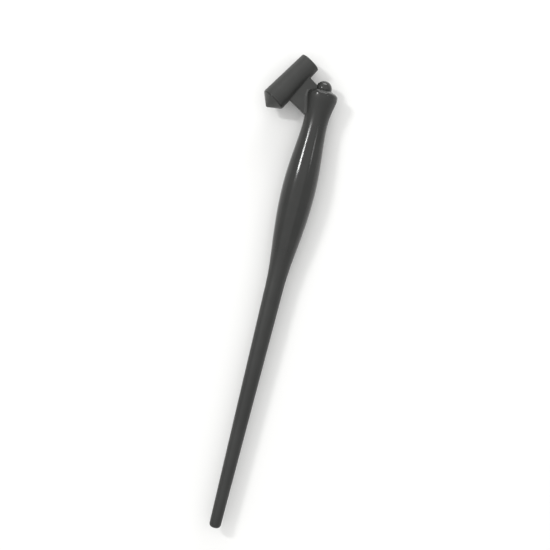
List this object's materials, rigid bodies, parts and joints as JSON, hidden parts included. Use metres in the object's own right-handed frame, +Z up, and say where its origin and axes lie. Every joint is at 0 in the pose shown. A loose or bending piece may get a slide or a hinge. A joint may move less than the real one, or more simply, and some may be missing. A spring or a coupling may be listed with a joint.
{
  "type": "dip pen holder",
  "caption": "Oblique calligraphy pen holder: slim tapered handle with a swelling grip, flared head, and a nib barrel set to one side on a web.",
  "frame": {"origin": "on the nib's axis in the plane of the barrel's mouth", "axes": "+X along the handle from tail to head, +Y to the side that carries the barrel, +Z up as the pen lies on a table"},
  "size_m": [0.1859, 0.0288, 0.013],
  "materials": {
    "handle": "moulded charcoal black plastic, satin with a glossy grip",
    "arm": "moulded charcoal black plastic, satin",
    "ball_peg": "moulded charcoal black plastic, polished ball",
    "end_plug": "moulded charcoal black plastic, satin",
    "clip_ring": "bright rolled steel",
    "petal_spring": "bright spring steel"
  },
  "bodies": {
    "root": {"handle": "handle", "arm": "arm", "ball_peg": "ball_peg", "end_plug": "end_plug", "clip_ring": "clip_ring", "petal_spring": "petal_spring"}
  },
  "joints": []
}
